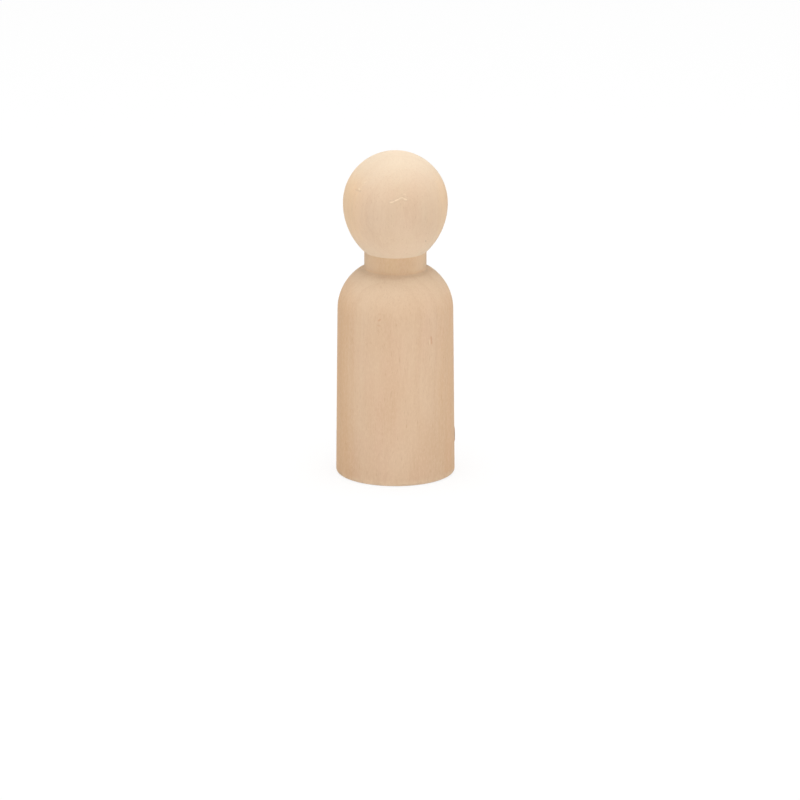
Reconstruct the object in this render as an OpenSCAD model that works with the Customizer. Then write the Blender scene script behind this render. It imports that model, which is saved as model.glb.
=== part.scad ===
// Bare wooden peg doll: a turned body and a turned head, glued on one neck dowel.
// Millimetres, +Z up. The origin is the middle of the flat base.

/* [Body] */
// Height of the body, from the flat base to the level ring around the neck
body_h = 22.22; // [16:0.01:45]
// Diameter at the base
base_d = 12.65; // [10:0.05:16]
// Diameter where the side turns into the shoulder
shoulder_d = 12.3; // [10:0.05:16]
// Radius of the shoulder's wide outer arc
shoulder_r = 5.2; // [4:0.1:8]
// Radius of the tight arc that turns the shoulder level near the neck
collar_r = 1; // [0.3:0.1:2]
// Width of the level ring between the tight arc and the neck
collar_land = 0.17; // [0.12:0.01:0.5]
// Radius of the eased edge around the base
base_ease = 0.3; // [0.1:0.05:1]
// Depth of the body's socket, from its mouth to its flat floor
body_socket = 8; // [4:0.5:12]

/* [Neck dowel] */
// Diameter of the dowel, whose bare middle is the neck
neck_d = 6.6; // [5:0.1:8]
// Length of dowel that shows between the body and the head
neck_show = 2.01; // [0.5:0.01:5]
// Bevel on both ends of the dowel
dowel_bevel = 0.4; // [0.1:0.05:1]
// Room for glue all round the dowel in its sockets
glue_film = 0.05; // [0.02:0.01:0.1]

/* [Head] */
// Diameter of the head at its widest
head_d = 11.1; // [9.5:0.1:14]
// How far past the doll's axis the chin's arc has its centre, so that the head draws in below
chin_offset = 1.75; // [0:0.05:3]
// Depth of the head's socket, from its mouth to its flat floor
head_socket = 5.5; // [3:0.25:7]

/* [Drill marks] */
// Diameter of the pip that the drill's point leaves in each socket's floor
pip_d = 1.6; // [0.6:0.1:3]
// Depth of that pip
pip_depth = 0.8; // [0.3:0.1:1.5]

/* [Hidden] */
$fn = 180;

// How far a cutting shape runs past the surface that it cuts
over = 1;

base_r = base_d / 2;
side_r = shoulder_d / 2;
neck_r = neck_d / 2;
head_r = head_d / 2;
socket_r = neck_r + glue_film;

// The shoulder's two arcs leave the side upright and reach the ring around the neck level.
collar_x = neck_r + collar_land;
shoulder_turn = acos((collar_x - side_r + shoulder_r) / (shoulder_r - collar_r));
shoulder_h = collar_r + (shoulder_r - collar_r) * sin(shoulder_turn);
side_top_z = body_h - shoulder_h;
arcs_meet_z = side_top_z + shoulder_r * sin(shoulder_turn);

// The dowel bottoms in both sockets, so its length sets how much neck shows.
dowel_z = body_h - body_socket;
dowel_l = body_socket + neck_show + head_socket;

// The head is a half ball above its widest height and a longer arc below it.
head_mouth_z = body_h + neck_show;
chin_r = head_r + chin_offset;
widest_z = head_mouth_z + sqrt(pow(chin_r, 2) - pow(socket_r + chin_offset, 2));

// The part of a disc that lies right of its centre and between two heights,
// filled in from its centre to the axis
module arc_band(x, z, r, low, high) {
    fill_low = max(low, z - r);
    fill_high = min(high, z + r);
    intersection() {
        translate([x, z]) circle(r);
        translate([max(x, 0), low]) square([r + over, high - low]);
    }
    if (x > 0) {
        translate([0, fill_low]) square([x, fill_high - fill_low]);
    }
}

// A flat-bottomed drilled hole that opens downwards, with its floor at z = 0
module socket(depth) {
    translate([0, 0, -depth]) cylinder(h = depth, r = socket_r);
    cylinder(h = pip_depth, d1 = pip_d, d2 = 0);
}

module body_outline() {
    arc_band(base_r - base_ease, base_ease, base_ease, -over, base_ease);
    polygon([[0, base_ease], [base_r, base_ease], [side_r, side_top_z], [0, side_top_z]]);
    arc_band(side_r - shoulder_r, side_top_z, shoulder_r, side_top_z, arcs_meet_z);
    arc_band(collar_x, body_h - collar_r, collar_r, arcs_meet_z, body_h + over);
}

module dowel_outline() {
    end_r = neck_r - dowel_bevel;
    polygon([
        [0, 0], [end_r, 0], [neck_r, dowel_bevel],
        [neck_r, dowel_l - dowel_bevel], [end_r, dowel_l], [0, dowel_l]
    ]);
}

module head_outline() {
    arc_band(0, widest_z, head_r, widest_z, widest_z + head_r + over);
    arc_band(-chin_offset, widest_z, chin_r, widest_z - chin_r - over, widest_z);
}

// Turned body: level base with an eased edge, nearly straight side, round shoulder
module body() {
    color("#DEBE9E") difference() {
        rotate_extrude() body_outline();
        translate([0, 0, dowel_z]) mirror([0, 0, 1]) socket(body_socket + over);
    }
}

// Plain dowel with bevelled ends: hidden in both sockets, bare at the neck
module neck_dowel() {
    color("#D6B48F") translate([0, 0, dowel_z]) rotate_extrude() dowel_outline();
}

// Turned head: round crown, and a chin whose point is drilled away by the socket
module head() {
    color("#E3C5A6") difference() {
        rotate_extrude() head_outline();
        translate([0, 0, head_mouth_z + head_socket]) socket(head_socket + chin_r);
    }
}

body();
neck_dowel();
head();
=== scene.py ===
# Bare wooden peg doll: a turned body, a neck rod and a turned head, each its own piece.
import math

import bpy
import numpy as np
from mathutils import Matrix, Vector


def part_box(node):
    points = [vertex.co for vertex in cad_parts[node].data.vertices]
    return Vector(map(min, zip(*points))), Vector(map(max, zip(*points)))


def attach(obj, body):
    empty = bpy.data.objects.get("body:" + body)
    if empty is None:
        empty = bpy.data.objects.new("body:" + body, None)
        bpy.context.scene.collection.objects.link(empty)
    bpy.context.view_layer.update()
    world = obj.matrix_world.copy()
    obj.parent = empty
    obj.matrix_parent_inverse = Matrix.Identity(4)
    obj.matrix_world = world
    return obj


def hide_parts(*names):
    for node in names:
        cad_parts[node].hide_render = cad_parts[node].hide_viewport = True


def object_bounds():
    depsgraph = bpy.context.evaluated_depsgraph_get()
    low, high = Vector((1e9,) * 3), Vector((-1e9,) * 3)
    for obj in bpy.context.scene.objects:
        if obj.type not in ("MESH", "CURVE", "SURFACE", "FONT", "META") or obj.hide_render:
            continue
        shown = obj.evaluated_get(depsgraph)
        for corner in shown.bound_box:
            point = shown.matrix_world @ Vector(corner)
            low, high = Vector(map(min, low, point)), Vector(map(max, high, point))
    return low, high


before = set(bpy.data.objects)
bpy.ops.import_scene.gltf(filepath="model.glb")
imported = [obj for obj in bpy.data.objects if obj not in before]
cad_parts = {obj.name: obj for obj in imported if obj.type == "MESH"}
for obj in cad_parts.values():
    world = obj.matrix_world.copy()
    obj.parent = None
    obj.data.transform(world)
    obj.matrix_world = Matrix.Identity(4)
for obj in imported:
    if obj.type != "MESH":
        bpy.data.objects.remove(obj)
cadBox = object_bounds()
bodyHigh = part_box("body")[1]
rodLow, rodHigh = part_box("neck_dowel")
headLow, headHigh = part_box("head")
mm = 0.001
print("frame loaded:", ", ".join(sorted(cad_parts)))

# how every piece is turned and marked
turning = {
    "arcSteps": 8,  # fewest steps in an arc, and in each parting ring
    "socketShare": 1.01,  # what lies within this share of the hollow's radius is in the socket
    "calmShare": 1.05,  # from this share outwards the wood swells and ripples
    "calmReach": 1.5 * mm,  # and does so fully this much further out
    "swellTurn": 0.23,  # how far the swell turns with each mm of height, in radians
    "sharpDeg": 60,
    "markRoom": 2.2,  # space beside a mark's line that needs the finer mesh, in the mark's widths
    "lipRoom": 3.2,  # the same for a mark with a raised lip
    "lipPlace": 1.7,  # where that lip is highest
}

# the hole for the rod, alike in the body and the head
socket = {
    "glueLine": 0.01 * mm,  # between the wood and the rod
    "floorEase": 0.05 * mm,
    "pipRadius": 0.8 * mm,  # left by the drill's point
    "pipDepth": 0.8 * mm,
    "hollow": 3.35 * mm,  # radius that nothing in the socket goes past
}
socketRadius = rodHigh.x + socket["glueLine"]


def tone(red, green, blue):  # screen colour, 0 to 255, as the shader's linear value
    def linear(value):
        share = value / 255
        return share / 12.92 if share <= 0.04045 else ((share + 0.055) / 1.055) ** 2.4
    return (linear(red), linear(green), linear(blue), 1)


# outlines: strokes in (radius, height) run from the axis round the piece and back to the axis, so
# that the turned piece is closed; each gives its way, its length and the fewest steps it may take

def arcStroke(centreR, centreZ, radius, fromDeg, toDeg):
    fromRad, toRad = math.radians(fromDeg), math.radians(toDeg)

    def at(share):
        angle = fromRad + (toRad - fromRad) * share
        return centreR + radius * math.cos(angle), centreZ + radius * math.sin(angle)
    return at, abs(toRad - fromRad) * radius, turning["arcSteps"]


def lineStroke(start, end):
    def at(share):
        return start[0] + (end[0] - start[0]) * share, start[1] + (end[1] - start[1]) * share
    return at, math.dist(start, end), 1


def partingStroke(radius, pitch, depth):  # level end with the rings that the parting tool leaves
    def at(share):
        r = radius * share
        fade = min(1, (1 - share) * radius / pitch)
        return r, depth * fade * (1 - math.cos(math.tau * r / pitch)) / 2
    return at, radius, turning["arcSteps"] * math.ceil(radius / pitch)


def easedPath(corners):  # lines between corners (r, z, ease), with each corner rounded by its ease
    strokes = []
    last = corners[0][:2]
    for before, corner, after in zip(corners, corners[1:], corners[2:]):
        here, ease = Vector(corner[:2]), corner[2]
        toBefore = (Vector(before[:2]) - here).normalized()
        toAfter = (Vector(after[:2]) - here).normalized()
        half = toBefore.angle(toAfter) / 2
        reach = ease / math.tan(half)
        centre = here + (toBefore + toAfter).normalized() * (ease / math.sin(half))
        enter, leave = here + toBefore * reach, here + toAfter * reach
        fromDeg = math.degrees(math.atan2(enter.y - centre.y, enter.x - centre.x))
        toDeg = math.degrees(math.atan2(leave.y - centre.y, leave.x - centre.x))
        toDeg = fromDeg + (toDeg - fromDeg + 180) % 360 - 180  # the short way round
        strokes.append(lineStroke(last, enter))
        strokes.append(arcStroke(centre.x, centre.y, ease, fromDeg, toDeg))
        last = leave
    strokes.append(lineStroke(last, corners[-1][:2]))
    return strokes


def socketCorners(mouthZ, floorZ):  # from the socket's mouth to the tip of its pip
    ease = socket["floorEase"]
    tipZ = floorZ + math.copysign(socket["pipDepth"], floorZ - mouthZ)
    return [
        (socketRadius, mouthZ), (socketRadius, floorZ, ease),
        (socket["pipRadius"], floorZ, ease), (0, tipZ),
    ]


# marks: lines in (degrees round from the front, height in mm), cut in or raised, and painted

channels = ("Red", "Green", "Blue")
markPaints = {"fleck": "Blue", "speck": "Green", "scuff": "Red"}  # laid on in this order


def mark(paint, strength, width, path, depth=0.0, lip=0.0):  # sizes in mm
    return {"channel": channels.index(markPaints[paint]), "strength": strength, "width": width * mm,
            "path": path, "depth": depth * mm, "lip": lip * mm}


def markRoom(cut):
    return turning["lipRoom" if cut["lip"] else "markRoom"] * cut["width"]


# turning

def walk(strokes, piece):  # rings along the outline, close together where a mark lies
    mesh = piece["mesh"]
    spans = []
    for cut in piece["marks"]:
        heights = [z * mm for _, z in cut["path"]]
        spans.append((min(heights) - markRoom(cut), max(heights) + markRoom(cut)))
    outside = turning["socketShare"] * mesh["hollow"]
    rings = [strokes[0][0](0)]
    for at, length, least in strokes:
        hidden = max(at(0)[0], at(1)[0]) < outside
        step = mesh["hiddenStep"] if hidden else mesh["ringStep"]
        count = max(least, math.ceil(length / mesh["fineStep"]))
        every = max(1, min(round(step / mesh["fineStep"]), count // least))
        for i in range(1, count + 1):
            r, z = at(i / count)
            near = r > outside and any(low < z < high for low, high in spans)
            if near or i % every == 0 or i == count:
                rings.append((r, z))
    return np.array(rings)


def surfaceSpot(rings, degrees, z):  # point on the outside of the turned piece
    low, high = rings[:-1], rings[1:]
    crosses = (low[:, 1] <= z) != (high[:, 1] <= z)
    share = (z - low[crosses, 1]) / (high[crosses, 1] - low[crosses, 1])
    r = np.max(low[crosses, 0] + share * (high[crosses, 0] - low[crosses, 0]))
    turn = math.radians(degrees)
    return np.array((r * math.sin(turn), -r * math.cos(turn), z))


def spinAngles(paths, piece):  # places round the axis from the back, close together where a mark lies
    mesh = piece["mesh"]
    degrees = np.arange(-180, 180, mesh["fineDeg"])
    kept = np.zeros(len(degrees), bool)
    kept[::round(360 / mesh["sides"] / mesh["fineDeg"])] = True
    for cut, path in zip(piece["marks"], paths):
        spread = math.degrees(markRoom(cut) / math.hypot(*path[0][:2]))
        turns = [d for d, _ in cut["path"]]
        kept |= (degrees > min(turns) - spread) & (degrees < max(turns) + spread)
    return np.radians(degrees[kept])


def strokeGap(spots, path):  # distance of each point on the surface from a mark's line
    gap = np.full(spots.shape[:-1], np.inf)
    for start, end in zip(path, path[1:]):
        along = end - start
        share = np.clip((spots - start) @ along / (along @ along), 0, 1)
        gap = np.minimum(gap, np.linalg.norm(spots - start - share[..., None] * along, axis=-1))
    return gap


def markSpots(spots, paths, marks):  # how far each point is lifted, and its paint in each channel
    lift = np.zeros(spots.shape[:2])
    paint = np.zeros(spots.shape)
    for cut, path in zip(marks, paths):
        gap = strokeGap(spots, path) / cut["width"]
        dome = np.exp(-gap ** 2)
        lift += np.exp(-(gap - turning["lipPlace"]) ** 2) * cut["lip"] - dome * cut["depth"]
        layer = paint[:, :, cut["channel"]]
        np.maximum(layer, dome * cut["strength"], out=layer)
    return lift, paint


def shapeSpots(spots, rings, angles, lift, mesh):
    # a little out of round and faintly rippled, as a sanded turning is
    radius, height = rings[:, :1], rings[:, 1:]
    swellTurn = turning["swellTurn"] * height / mm + mesh["phase"]
    swell = np.sin(2 * angles + mesh["phase"]) * np.cos(swellTurn) - 1
    ripple = np.sin(math.tau * height / mesh["ripplePitch"]) - 1
    free = np.clip((radius - turning["calmShare"] * mesh["hollow"]) / turning["calmReach"], 0, 1)
    grow = free * (mesh["sway"] * swell + mesh["ripple"] * ripple) / 2

    # marks are lifted square to the outline
    along = np.gradient(rings, axis=0)
    along /= np.linalg.norm(along, axis=1, keepdims=True)
    grow = grow + lift * along[:, 1:]
    spots[:, :, 0] += grow * np.sin(angles)
    spots[:, :, 1] -= grow * np.cos(angles)
    spots[:, :, 2] -= lift * along[:, :1]


def turnedMesh(name, spots):
    rows, count = len(spots) - 2, spots.shape[1]
    verts = np.concatenate((spots[:1, 0], spots[1:-1].reshape(-1, 3), spots[-1:, 0]))
    grid = 1 + np.arange(rows * count).reshape(rows, count)
    beside = np.roll(grid, -1, axis=1)
    first, last = np.zeros(count, int), np.full(count, rows * count + 1)
    lowFan = np.stack((first, beside[0], grid[0]), -1)
    sides = np.stack((grid[:-1], beside[:-1], beside[1:], grid[1:]), -1).reshape(-1, 4)
    highFan = np.stack((last, grid[-1], beside[-1]), -1)
    data = bpy.data.meshes.new(name)
    data.from_pydata(verts.tolist(), [], lowFan.tolist() + sides.tolist() + highFan.tolist())
    data.update()
    data.polygons.foreach_set("use_smooth", [True] * len(data.polygons))
    data.set_sharp_from_angle(angle=math.radians(turning["sharpDeg"]))
    return data


def paintMarks(data, paint):  # no mark reaches the two points on the axis
    colours = np.zeros((len(data.vertices), 4), np.float32)
    colours[:, 3] = 1
    colours[1:-1, :3] = paint[1:-1].reshape(-1, 3)
    data.attributes.new("marks", "FLOAT_COLOR", "POINT").data.foreach_set("color", colours.ravel())


def unroll(data, rings, angles):  # flat like a label, with the seam at the back
    around = (angles + math.pi) / math.tau
    onward = np.append(around[1:], 1)
    climb = np.append(0, np.cumsum(np.linalg.norm(np.diff(rings, axis=0), axis=1)))
    climb = climb / climb[-1]
    mid = (around + onward) / 2
    low, high = np.full(len(mid), climb[1]), np.full(len(mid), climb[-2])
    lowUv = np.stack((mid, 0 * mid, onward, low, around, low), -1)
    across = np.stack((around, onward, onward, around), -1)[None] + np.zeros((len(rings) - 3, 1, 1))
    upward = np.stack((climb[1:-2], climb[1:-2], climb[2:-1], climb[2:-1]), -1)[:, None] + 0 * across
    sideUv = np.stack((across, upward), -1)
    highUv = np.stack((mid, 0 * mid + 1, around, high, onward, high), -1)
    layer = data.uv_layers.new(name="OFBake")
    layer.data.foreach_set("uv", np.concatenate((lowUv.ravel(), sideUv.ravel(), highUv.ravel())))


def turnPiece(name, strokes, piece):
    rings = walk(strokes, piece)
    paths = [[surfaceSpot(rings, d, z * mm) for d, z in cut["path"]] for cut in piece["marks"]]
    angles = spinAngles(paths, piece)
    radius, height = rings[:, :1], rings[:, 1:]
    spots = np.stack((radius * np.sin(angles), -radius * np.cos(angles), height + 0 * angles), -1)
    lift, paint = markSpots(spots, paths, piece["marks"])
    shapeSpots(spots, rings, angles, lift, piece["mesh"])
    data = turnedMesh(name, spots)
    paintMarks(data, paint)
    unroll(data, rings, angles)
    turned = bpy.data.objects.new(name, data)
    bpy.context.scene.collection.objects.link(turned)
    print(f"{name}: {len(rings)} rings of {len(angles)} places")
    return turned


# shader nodes

def addNode(tree, kind, inputs=None, **settings):
    node = tree.nodes.new(kind)
    for key, value in settings.items():
        setattr(node, key, value)
    for key, value in (inputs or {}).items():
        if isinstance(value, bpy.types.NodeSocket):
            tree.links.new(value, node.inputs[key])
        else:
            node.inputs[key].default_value = value
    return node


def reckoned(tree, operation, *values):
    return addNode(tree, "ShaderNodeMath", dict(enumerate(values)), operation=operation).outputs[0]


def vectored(tree, operation, *vectors, output="Vector"):
    node = addNode(tree, "ShaderNodeVectorMath", dict(enumerate(vectors)), operation=operation)
    return node.outputs[output]


def axisPart(tree, vector, axis):
    return addNode(tree, "ShaderNodeSeparateXYZ", {0: vector}).outputs[axis]


def blended(tree, share, first, second):  # colour from first to second
    return addNode(tree, "ShaderNodeMix", {0: share, 6: first, 7: second}, data_type="RGBA").outputs[2]


def ranged(tree, value, fromLow, fromHigh, toLow, toHigh):
    return addNode(tree, "ShaderNodeMapRange", {
        "Value": value, "From Min": fromLow, "From Max": fromHigh, "To Min": toLow, "To Max": toHigh
    }, interpolation_type="SMOOTHSTEP").outputs[0]


# noise in the wood: how fine it is, how it is drawn out, and the part of its range that shows
woodLayers = {
    "waver": {"scale": 0.22, "drawn": (1, 1, 0.12), "detail": 2.0, "rough": 0.5},
    "clouds": {"scale": 0.3, "drawn": (1, 1, 0.35), "detail": 3.0, "rough": 0.5},
    "fray": {"scale": 1.4, "drawn": (1, 1, 0.03), "detail": 3.0, "rough": 0.6},
    "fibres": {"scale": 3.2, "drawn": (1, 1, 0.05), "detail": 5.0, "rough": 0.62, "shows": (0.42, 0.72)},
    "rays": {"scale": 4.6, "drawn": (1, 1, 0.22), "detail": 1.0, "rough": 0.4, "shows": (0.64, 0.74)},
    "fuzz": {"scale": 6.5, "drawn": (1, 1, 0.4), "detail": 2.0, "rough": 0.6, "shows": (0.42, 0.68)},
    "pores": {"scale": 11.0, "drawn": (1, 1, 0.11), "detail": 1.5, "rough": 0.5, "shows": (0.62, 0.74)},
    "sanding": {"scale": 7.0, "drawn": (0.12, 0.12, 1), "detail": 3.0, "rough": 0.6},
    "rubbing": {"scale": 900.0, "drawn": (1, 1, 1), "detail": 3.0, "rough": 0.6, "shows": (0.35, 0.6)},
    "rag": {"scale": 16.0, "drawn": (1, 1, 1), "detail": 2.0, "rough": 0.7},
}


def noise(tree, vector, name, output="Fac"):
    layer = woodLayers[name]
    return addNode(tree, "ShaderNodeTexNoise", {
        "Vector": vectored(tree, "MULTIPLY", vector, layer["drawn"]), "Scale": layer["scale"],
        "Detail": layer["detail"], "Roughness": layer["rough"]
    }).outputs[output]


def shown(tree, value, name, low, high):
    return ranged(tree, value, *woodLayers[name]["shows"], low, high)


# wood finish, from how strongly each colour shows to the whole material

def paintedSideShading(tree, wavy, wood):  # painted shading towards the two sides of the stick: painted shade that darkens the body's sides, painted light that pales the rod's and the head's
    frayed = reckoned(tree, "MULTIPLY", noise(tree, wavy, "fray"), wood["sideFray"])
    across = reckoned(tree, "ADD", axisPart(tree, wavy, "X"), frayed)
    near, far = wood["sideReach"]
    middle = wood["pith"][0] + wood["sideShift"] + wood["sideFray"] / 2
    right = ranged(tree, across, middle + near, middle + far, 0.0, wood["sideRight"])
    left = ranged(tree, across, middle - near, middle - far, 0.0, wood["sideLeft"])
    return reckoned(tree, "MAXIMUM", right, left)


def endGrain(tree, normal, wood):  # cut fibre ends, paler and drier
    facing = reckoned(tree, "ABSOLUTE", axisPart(tree, normal, "Z"))
    return ranged(tree, facing, wood["endFrom"], 1.0, 0.0, wood["endDepth"])


def lateWood(tree, wavy, wood):  # dark end of each year's ring
    waveTurn = 20  # radians that the wave texture turns in each unit of its scale
    rings = addNode(tree, "ShaderNodeTexWave", {
        "Vector": wavy, "Scale": math.tau / waveTurn / wood["ringWidth"], "Distortion": wood["ringWarp"],
        "Detail": wood["ringDetail"], "Detail Scale": wood["ringDetailScale"],
        "Detail Roughness": wood["ringDetailRough"]
    }, wave_type="RINGS", rings_direction="Z", wave_profile="SAW").outputs["Fac"]
    return ranged(tree, rings, wood["lateFrom"], 1.0, 0.0, wood["ringDepth"])


# painted shade, darker towards the bottom of the body
def paintedFootShade(tree, place, wood):
    return ranged(tree, axisPart(tree, place, "Z"), wood["footHeight"], 0.0, 0.0, wood["footDepth"])


def wornAndLitRim(tree, place, wood):  # edge of the base pale in patches: rubbed wear, and painted light where the eased edge catches the floor's light
    height = axisPart(tree, place, "Z")
    low = ranged(tree, height, wood["rimHeight"], wood["rimFull"], 0.0, wood["rimDepth"])
    patches = shown(tree, noise(tree, place, "rubbing"), "rubbing", *wood["rimPatches"])
    return reckoned(tree, "MULTIPLY", low, patches)


def glueStainAndShade(tree, place, wood):  # glue stain round the glued neck, ragged, and painted shade on the shoulder round the neck's foot, strongest at the front
    flat = vectored(tree, "MULTIPLY", place, (1, 1, 0))
    outward = vectored(tree, "LENGTH", flat, output="Value")
    turn = vectored(tree, "NORMALIZE", flat)
    ragged = reckoned(tree, "MULTIPLY", noise(tree, turn, "rag"), wood["glueRag"])
    edge = reckoned(tree, "ADD", outward, ragged)
    outer, inner = wood["glueReach"]
    ring = ranged(tree, edge, rodHigh.x + outer, rodHigh.x + inner, 0.0, 1.0)
    wiped = vectored(tree, "DOT_PRODUCT", turn, wood["darkestSide"], output="Value")
    depth = ranged(tree, wiped, *wood["darkestEdge"], wood["glueDepth"], wood["darkestDepth"])
    lowest, full = wood["glueBelow"]
    top = ranged(tree, axisPart(tree, place, "Z"), bodyHigh.z - lowest, bodyHigh.z - full, 0.0, 1.0)
    return reckoned(tree, "MULTIPLY", reckoned(tree, "MULTIPLY", ring, top), depth)


def glueFilm(tree, place, wood):  # dried glue that climbs the neck, paler than the wood below it
    height = axisPart(tree, place, "Z")
    low, high = wood["filmReach"]
    return ranged(tree, height, bodyHigh.z + low, bodyHigh.z + high, 0.0, wood["filmDepth"])


def filmToneAndSideLight(tree, place, wood):  # colour of that film, with painted light that pales it towards the two sides of the neck
    across = reckoned(tree, "ABSOLUTE", axisPart(tree, place, "X"))
    sides = ranged(tree, across, *wood["filmSideLightReach"], 0.0, 1.0)
    return blended(tree, sides, wood["film"], wood["filmSideLight"])


def grainSpace(tree, place, wood):  # in mm from the middle of the tree, straight and with a slow waver
    straight = addNode(tree, "ShaderNodeMapping", {
        "Vector": place, "Location": wood["pith"],
        "Rotation": [math.radians(d) for d in wood["lean"]], "Scale": (1 / mm, 1 / mm, 1 / mm)
    }).outputs[0]
    waver = vectored(tree, "SUBTRACT", noise(tree, straight, "waver", "Color"), (0.5, 0.5, 0.5))
    waver = vectored(tree, "MULTIPLY", waver, (wood["waver"], wood["waver"], 0))
    return straight, vectored(tree, "ADD", waver, straight)


def woodColour(tree, coords, straight, wavy, fibres, pores, wood):
    place = coords["Object"]
    clouds = addNode(tree, "ShaderNodeSeparateColor", {0: noise(tree, straight, "clouds", "Color")}).outputs
    warm = ranged(tree, clouds["Red"], *wood["warmFrom"], 0.0, 1.0)
    rosy = ranged(tree, clouds["Green"], *wood["rosyFrom"], 0.0, wood["rosyDepth"])
    colour = blended(tree, warm, wood["pale"], wood["warm"])
    colour = blended(tree, rosy, colour, wood["rosy"])
    # painted shading towards the two sides
    colour = blended(tree, paintedSideShading(tree, wavy, wood), colour, wood["side"])
    colour = blended(tree, endGrain(tree, coords["Normal"], wood), colour, wood["end"])
    if "footShade" in wood:
        colour = blended(tree, paintedFootShade(tree, place, wood), colour, wood["footShade"])
        colour = blended(tree, wornAndLitRim(tree, place, wood), colour, wood["end"])
    if "glue" in wood:
        colour = blended(tree, glueStainAndShade(tree, place, wood), colour, wood["glue"])
        colour = blended(tree, glueFilm(tree, place, wood), colour, filmToneAndSideLight(tree, place, wood))
    colour = blended(tree, lateWood(tree, wavy, wood), colour, wood["late"])
    colour = blended(tree, shown(tree, fibres, "fibres", 0.0, wood["fibreDepth"]), colour, wood["fibre"])
    rays = shown(tree, noise(tree, wavy, "rays"), "rays", 0.0, wood["rayDepth"])
    colour = blended(tree, rays, colour, wood["ray"])
    fuzz = shown(tree, noise(tree, straight, "fuzz"), "fuzz", 0.0, wood["fuzzDepth"])
    colour = blended(tree, fuzz, colour, wood["fuzz"])
    return blended(tree, reckoned(tree, "MULTIPLY", pores, wood["poreDepth"]), colour, wood["pore"])


def markColour(tree, colour, wood):
    marks = addNode(tree, "ShaderNodeAttribute", attribute_name="marks").outputs["Color"]
    strengths = addNode(tree, "ShaderNodeSeparateColor", {0: marks}).outputs
    for paint, channel in markPaints.items():
        colour = blended(tree, strengths[channel], colour, wood[paint])
    return colour


def woodSurface(tree, shader, straight, fibres, pores, wood):
    rough = ranged(tree, fibres, *wood["roughFrom"], *wood["rough"])
    rough = reckoned(tree, "ADD", rough, reckoned(tree, "MULTIPLY", pores, wood["poreRough"]))
    tree.links.new(rough, shader.inputs["Roughness"])
    sanding = reckoned(tree, "MULTIPLY", noise(tree, straight, "sanding"), wood["sandRelief"])
    relief = reckoned(tree, "SUBTRACT", fibres, reckoned(tree, "MULTIPLY", pores, wood["poreRelief"]))
    bump = addNode(tree, "ShaderNodeBump", {
        "Height": reckoned(tree, "ADD", relief, sanding), "Strength": wood["bumpStrength"],
        "Distance": wood["bump"]
    }).outputs[0]
    tree.links.new(bump, shader.inputs["Normal"])
    shader.inputs["Specular IOR Level"].default_value = wood["shine"]
    shader.inputs["Diffuse Roughness"].default_value = wood["matte"]


def woodFinish(name, wood):
    material = bpy.data.materials.new(name)
    material.use_nodes = True
    tree = material.node_tree
    shader = tree.nodes["Principled BSDF"]
    coords = addNode(tree, "ShaderNodeTexCoord").outputs
    straight, wavy = grainSpace(tree, coords["Object"], wood)
    fibres = noise(tree, wavy, "fibres")
    pores = shown(tree, noise(tree, wavy, "pores"), "pores", 0.0, 1.0)
    colour = woodColour(tree, coords, straight, wavy, fibres, pores, wood)
    tree.links.new(markColour(tree, colour, wood), shader.inputs["Base Color"])
    woodSurface(tree, shader, straight, fibres, pores, wood)
    print(f"{name}: {len(tree.nodes)} nodes")
    return material


# what the three woods share; each Depth says how strongly its colour shows
baseWood = {
    "pale": tone(226, 198, 168),
    "warm": tone(221, 190, 158), "warmFrom": (0.3, 0.7),
    "rosy": tone(225, 190, 163), "rosyFrom": (0.4, 0.7), "rosyDepth": 0.4,
    # side: painted shade, darker towards the two sides of the body
    "side": tone(219, 171, 119), "sideReach": (3.8, 6.5), "sideFray": 1.8, "sideShift": 0.0,  # mm across
    "end": tone(233, 211, 183), "endFrom": 0.1, "endDepth": 0.7,
    "late": tone(205, 166, 132), "lateFrom": 0.55, "ringDepth": 0.1, "ringWidth": 1.9,  # mm
    "ringWarp": 1.4, "ringDetail": 2.0, "ringDetailScale": 1.2, "ringDetailRough": 0.55,
    "fibre": tone(208, 170, 137), "fibreDepth": 0.12,
    "ray": tone(200, 158, 122), "rayDepth": 0.12,
    "fuzz": tone(240, 216, 188), "fuzzDepth": 0.18,  # fibres that sanding has raised
    "pore": tone(184, 142, 108), "poreDepth": 0.22, "poreRough": 0.08, "poreRelief": 0.5,
    "scuff": tone(246, 224, 197), "speck": tone(92, 66, 46), "fleck": tone(205, 152, 120),
    "pith": (6.0, 31.0, 0.0),  # where the tree's middle lies, mm
    "lean": (1.2, -0.8, 0), "waver": 1.6,
    "rough": (0.52, 0.64), "roughFrom": (0.3, 0.7), "sandRelief": 0.35,
    "bump": 0.012 * mm, "bumpStrength": 0.5, "shine": 0.07, "matte": 0.4,
}

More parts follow.
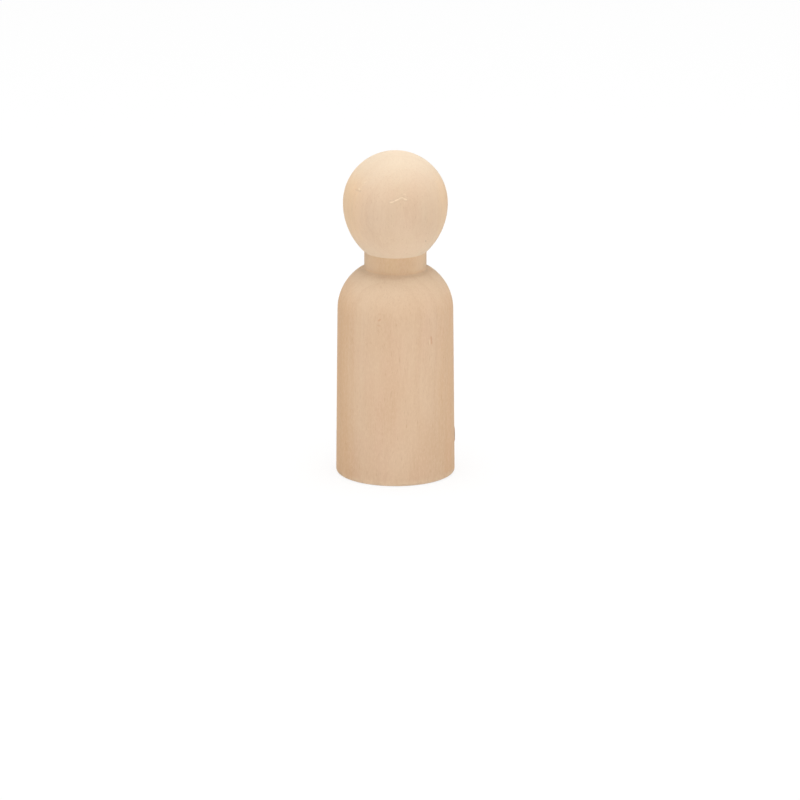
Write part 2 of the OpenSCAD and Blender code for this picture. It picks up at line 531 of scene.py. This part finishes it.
# body
bodyPiece = {
    "sideRadius": 6.15 * mm,  # where the side turns into the shoulder
    "shoulderArc": 5.2 * mm,
    "collarArc": 1.0 * mm,
    "collarLand": 0.17 * mm,
    "baseEase": 0.3 * mm,
    "partingPitch": 0.75 * mm,
    "partingDepth": 0.015 * mm,
    "glueFillet": 0.4 * mm,  # squeezed out and wiped round
    "mesh": {
        "sides": 180, "fineDeg": 0.4,
        "ringStep": 0.36 * mm, "fineStep": 0.06 * mm, "hiddenStep": 2.0 * mm, "hollow": socket["hollow"],
        "sway": 0.012 * mm, "ripple": 0.002 * mm, "ripplePitch": 1.3 * mm, "phase": 0.7,
    },
    "marks": [
        # warm fleck with a pale edge on the front right
        mark("fleck", 0.55, 0.09, [(37.8, 16.06), (38.4, 15.35)], depth=0.015, lip=0.004),
        mark("scuff", 0.35, 0.07, [(35.8, 15.74), (35.9, 15.41)]),
        # pin knot that stands out low on the right
        mark("fleck", 0.6, 0.3, [(85.0, 3.6), (85.4, 4.1), (85.0, 4.65)], depth=-0.08),
        mark("speck", 0.5, 0.08, [(84.9, 3.42), (85.3, 3.8), (85.4, 4.2), (84.9, 4.84)]),
        mark("speck", 0.65, 0.14, [(85.2, 3.62), (85.4, 4.1), (85.1, 4.6)]),
        mark("speck", 0.75, 0.2, [(85.3, 3.88), (85.4, 4.1), (85.2, 4.32)]),
        # faint row of specks left of the middle
        mark("fleck", 0.2, 0.08, [(-16.4, 18.86), (-15.4, 18.84)], depth=0.006),
        mark("fleck", 0.5, 0.08, [(-16.9, 18.16), (-15.9, 18.2), (-15.0, 18.28)], depth=0.01),
        mark("fleck", 0.3, 0.08, [(-17.3, 17.62), (-15.6, 17.6)], depth=0.006),
        # dents in the rim from standing and falling
        mark("speck", 0.1, 0.16, [(-71.0, 0.32), (-66.0, 0.27)], depth=0.04),
        mark("speck", 0.06, 0.14, [(22.0, 0.2), (25.0, 0.24)], depth=0.03),
        mark("speck", 0.1, 0.18, [(131.0, 0.3), (137.0, 0.22)], depth=0.05),
    ],
    "wood": {
        "sideRight": 0.42, "sideLeft": 0.5, "sideShift": 0.2,
        # painted shade towards the foot
        "footShade": tone(150, 130, 112), "footHeight": 12.0 * mm, "footDepth": 0.07,
        # pale rim at the base: wear, and painted light
        "rimHeight": 0.8 * mm, "rimFull": 0.24 * mm, "rimDepth": 0.5, "rimPatches": (0.25, 1.0),
        # glue stain and painted shade round the neck's foot
        "glue": tone(190, 148, 112), "glueDepth": 0.03, "glueRag": 0.64 * mm,
        "glueReach": (1.6 * mm, 0.72 * mm),  # outwards from the rod, where it starts and where it is full
        "glueBelow": (2.0 * mm, 1.0 * mm),  # down from the body's top, the same
        "darkestSide": (-0.13, -0.99, 0.0), "darkestEdge": (0.84, 0.98), "darkestDepth": 0.2,
        "film": tone(228, 195, 158), "filmReach": (0.02 * mm, 0.3 * mm), "filmDepth": 0.9,
        # painted light, paler towards the two sides of the neck
        "filmSideLight": tone(238, 207, 171), "filmSideLightReach": (1.0 * mm, 2.6 * mm),
    },
}


def bodyStrokes(piece):
    baseR, bodyTop = bodyHigh.x, bodyHigh.z
    sideR, wide, tight = piece["sideRadius"], piece["shoulderArc"], piece["collarArc"]
    collarR = rodHigh.x + piece["collarLand"]
    turn = math.acos((collarR - sideR + wide) / (wide - tight))  # where the shoulder's two arcs meet
    sideTop = bodyTop - tight - (wide - tight) * math.sin(turn)
    ease, fillet = piece["baseEase"], piece["glueFillet"]
    filletR = socketRadius + fillet
    meet = math.acos((filletR - collarR) / (tight + fillet))  # where the inner one meets the fillet
    filletZ = bodyTop - tight + (tight + fillet) * math.sin(meet)
    turnDeg, meetDeg = math.degrees(turn), math.degrees(meet)
    return [
        partingStroke(baseR - ease, piece["partingPitch"], piece["partingDepth"]),
        arcStroke(baseR - ease, ease, ease, -90, 0),
        lineStroke((baseR, ease), (sideR, sideTop)),
        arcStroke(sideR - wide, sideTop, wide, 0, turnDeg),
        arcStroke(collarR, bodyTop - tight, tight, turnDeg, meetDeg),
        arcStroke(filletR, filletZ, fillet, meetDeg - 180, -180),
    ] + easedPath(socketCorners(filletZ, rodLow.z))


turnedBody = turnPiece("turnedBody", bodyStrokes(bodyPiece), bodyPiece)
turnedBody.data.materials.append(woodFinish("bodyWood", {**baseWood, **bodyPiece["wood"]}))
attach(turnedBody, "root")
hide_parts("body")

# neck rod
rodPiece = {
    "bevel": 0.4 * mm,
    "bevelEase": 0.1 * mm,
    "mesh": {
        "sides": 180, "fineDeg": 1.0,
        "ringStep": 0.2 * mm, "fineStep": 0.1 * mm, "hiddenStep": 0.2 * mm, "hollow": 0.0,
        "sway": 0.004 * mm, "ripple": 0.0, "ripplePitch": 1.0 * mm, "phase": 0.3,
    },
    "marks": [],
    "wood": {
        # side: painted light, paler towards the rod's two sides
        "pale": tone(227, 196, 159), "warm": tone(221, 188, 149), "side": tone(242, 215, 183),
        "sideReach": (0.8, 3.2), "sideRight": 0.55, "sideLeft": 0.6, "sideFray": 0.0, "sideShift": -0.7,
        "pith": (-9.0, 24.0, 30.0), "ringWidth": 1.3, "ringDepth": 0.06, "fibreDepth": 0.08,
    },
}


def rodStrokes(piece):
    radius, bevel, ease = rodHigh.x, piece["bevel"], piece["bevelEase"]
    return easedPath([
        (0, rodLow.z), (radius - bevel, rodLow.z, ease), (radius, rodLow.z + bevel, ease),
        (radius, rodHigh.z - bevel, ease), (radius - bevel, rodHigh.z, ease), (0, rodHigh.z),
    ])


neckRod = turnPiece("neckRod", rodStrokes(rodPiece), rodPiece)
neckRod.data.materials.append(woodFinish("rodWood", {**baseWood, **rodPiece["wood"]}))
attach(neckRod, "root")
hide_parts("neck_dowel")

# head
scratchPath = [(-5.7, 30.91), (-3.3, 30.93), (-1.0, 31.04), (1.6, 31.14), (4.7, 31.27), (6.5, 31.36),
               (8.4, 31.37), (10.0, 31.27), (11.3, 31.19), (12.7, 31.17)]
headPiece = {
    "mesh": {
        "sides": 225, "fineDeg": 0.4,
        "ringStep": 0.18 * mm, "fineStep": 0.045 * mm, "hiddenStep": 2.0 * mm, "hollow": socket["hollow"],
        "sway": 0.012 * mm, "ripple": 0.001 * mm, "ripplePitch": 1.1 * mm, "phase": 2.1,
    },
    "marks": [
        # pale scratch with a hook on the front, brighter in three places, and a short one above its end
        mark("speck", 0.07, 0.2, scratchPath),
        mark("scuff", 0.55, 0.08, scratchPath, depth=0.02, lip=0.012),
        mark("scuff", 0.85, 0.085, [(-5.2, 30.91), (-3.3, 30.93)]),
        mark("scuff", 0.9, 0.085, [(0.0, 31.08), (2.8, 31.19)]),
        mark("scuff", 0.9, 0.085, [(10.7, 31.22), (12.5, 31.17)]),
        mark("scuff", 0.4, 0.09, [(10.6, 31.7), (12.2, 31.68)], depth=0.012, lip=0.006),
        # pale nicks high on the left, with a dark line under them
        mark("scuff", 0.8, 0.08, [(-49.8, 31.85), (-48.2, 31.8)], depth=0.02, lip=0.01),
        mark("scuff", 0.3, 0.06, [(-63.1, 31.76), (-60.6, 31.7)], depth=0.012, lip=0.006),
        mark("scuff", 0.3, 0.12, [(-44.0, 32.55), (-42.8, 32.62)], depth=0.01, lip=0.004),
        mark("speck", 0.1, 0.07, [(-55.3, 31.64), (-50.0, 31.6), (-45.3, 31.62)], depth=0.008),
        # dark speck on the right of the chin
        mark("speck", 0.25, 0.07, [(41.5, 26.24), (42.6, 26.14)], depth=0.015),
    ],
    "wood": {
        "pale": tone(229, 205, 177), "warm": tone(224, 198, 169), "rosy": tone(228, 198, 172),
        # side: painted light, paler towards the head's two sides
        "side": tone(248, 213, 171), "sideReach": (2.8, 5.7), "sideRight": 0.6, "sideLeft": 0.55,
        "end": tone(228, 213, 191), "endFrom": 0.3, "pith": (-7.0, 34.0, 60.0), "ringWidth": 2.2,
        "ringDepth": 0.05, "fibreDepth": 0.1, "rayDepth": 0.08,
    },
}


def headStrokes():
    headR, mouthZ = headHigh.x, headLow.z
    widestZ = headHigh.z - headR
    rise = widestZ - mouthZ
    # the chin's arc runs from the widest place to the socket's mouth, from a centre past the axis
    offset = (rise ** 2 + socketRadius ** 2 - headR ** 2) / (2 * (headR - socketRadius))
    chinR = headR + offset
    chinDeg = math.degrees(math.asin(rise / chinR))
    return easedPath(socketCorners(mouthZ, rodHigh.z)[::-1]) + [
        arcStroke(-offset, widestZ, chinR, -chinDeg, 0),
        arcStroke(0, widestZ, headR, 0, 90),
    ]


turnedHead = turnPiece("turnedHead", headStrokes(), headPiece)
turnedHead.data.materials.append(woodFinish("headWood", {**baseWood, **headPiece["wood"]}))
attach(turnedHead, "root")
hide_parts("head")

# floor and background
stagePiece = {
    "floorSize": 3.0,
    "floorColour": (0.94, 0.94, 0.94, 1),
    "shadowShare": 0.2,  # how much of the shadow the camera sees on the white floor
    "worldLight": 0.28,
    "white": 1.0,  # strength at which the floor and the background are white
}


def seenDirectly(tree):  # 1 where the camera, a mirror or glass looks at it
    path = addNode(tree, "ShaderNodeLightPath").outputs
    seen = reckoned(tree, "MAXIMUM", path["Is Camera Ray"], path["Is Glossy Ray"])
    return reckoned(tree, "MAXIMUM", seen, path["Is Transmission Ray"])


def whiteFloor(piece):
    data = bpy.data.meshes.new("whiteFloor")
    half = piece["floorSize"] / 2
    corners = [(-half, -half, 0), (half, -half, 0), (half, half, 0), (-half, half, 0)]
    data.from_pydata(corners, [], [(0, 1, 2, 3)])
    floor = bpy.data.objects.new("whiteFloor", data)
    bpy.context.scene.collection.objects.link(floor)
    material = bpy.data.materials.new("whiteFloor")
    material.use_nodes = True
    tree = material.node_tree
    tree.nodes.clear()
    plain = addNode(tree, "ShaderNodeBsdfDiffuse", {"Color": piece["floorColour"]}).outputs[0]
    white = addNode(tree, "ShaderNodeEmission", {"Strength": piece["white"]}).outputs[0]
    shaded = addNode(tree, "ShaderNodeMixShader", {0: piece["shadowShare"], 1: white, 2: plain}).outputs[0]
    both = addNode(tree, "ShaderNodeMixShader", {0: seenDirectly(tree), 1: plain, 2: shaded}).outputs[0]
    addNode(tree, "ShaderNodeOutputMaterial", {"Surface": both})
    data.materials.append(material)


def studioWorld(piece):
    world = bpy.data.worlds.new("studio")
    bpy.context.scene.world = world
    world.use_nodes = True
    tree = world.node_tree
    tree.nodes.clear()
    light = addNode(tree, "ShaderNodeBackground", {"Strength": piece["worldLight"]}).outputs[0]
    white = addNode(tree, "ShaderNodeBackground", {"Strength": piece["white"]}).outputs[0]
    both = addNode(tree, "ShaderNodeMixShader", {0: seenDirectly(tree), 1: light, 2: white}).outputs[0]
    addNode(tree, "ShaderNodeOutputWorld", {"Surface": both})


# light and camera
lamps = {
    "topBox": {"place": (0.0, 0.0, 0.55), "size": 0.55, "power": 3.5},
    "frontBox": {"place": (0.05, -0.80, 0.20), "size": 0.70, "power": 2.63},
}


def softLamp(name, lamp, aim):
    data = bpy.data.lights.new(name, "AREA")
    data.shape = "SQUARE"
    data.size = lamp["size"]
    data.energy = lamp["power"]
    lit = bpy.data.objects.new(name, data)
    lit.location = lamp["place"]
    lit.rotation_euler = (aim - Vector(lamp["place"])).to_track_quat("-Z", "Y").to_euler()
    bpy.context.scene.collection.objects.link(lit)


photoView = {
    "distance": 0.8,
    "elevation": 15.5,
    "pixelsPerMm": 9.425,  # at the doll's middle
    "middle": (395.4, 311.7),  # where the doll's middle lies in the frame, in pixels
    "frameSize": 800,
    "sensor": 36.0,
}


def photoCamera(view, middle):
    tilt = math.radians(view["elevation"])
    back = Vector((0, -math.cos(tilt), math.sin(tilt)))
    up = Vector((0, math.sin(tilt), math.cos(tilt)))
    place = middle + back * view["distance"]
    offRight = (view["frameSize"] / 2 - view["middle"][0]) / view["pixelsPerMm"] * mm
    offUp = (view["middle"][1] - view["frameSize"] / 2) / view["pixelsPerMm"] * mm
    aim = middle + Vector((offRight, 0, 0)) + up * offUp
    data = bpy.data.cameras.new("photoCamera")
    data.sensor_width = view["sensor"]
    focalPixels = view["pixelsPerMm"] * view["distance"] / mm
    data.lens = focalPixels / view["frameSize"] * view["sensor"]
    camera = bpy.data.objects.new("photoCamera", data)
    camera.location = place
    camera.rotation_euler = (aim - place).to_track_quat("-Z", "Y").to_euler()
    bpy.context.scene.collection.objects.link(camera)
    bpy.context.scene.camera = camera


dollMiddle = (cadBox[0] + cadBox[1]) / 2
whiteFloor(stagePiece)
studioWorld(stagePiece)
for lampName, lamp in lamps.items():
    softLamp(lampName, lamp, dollMiddle)
photoCamera(photoView, dollMiddle)
bpy.context.scene.view_settings.view_transform = "Standard"
print("stage ready:", ", ".join(lamps))
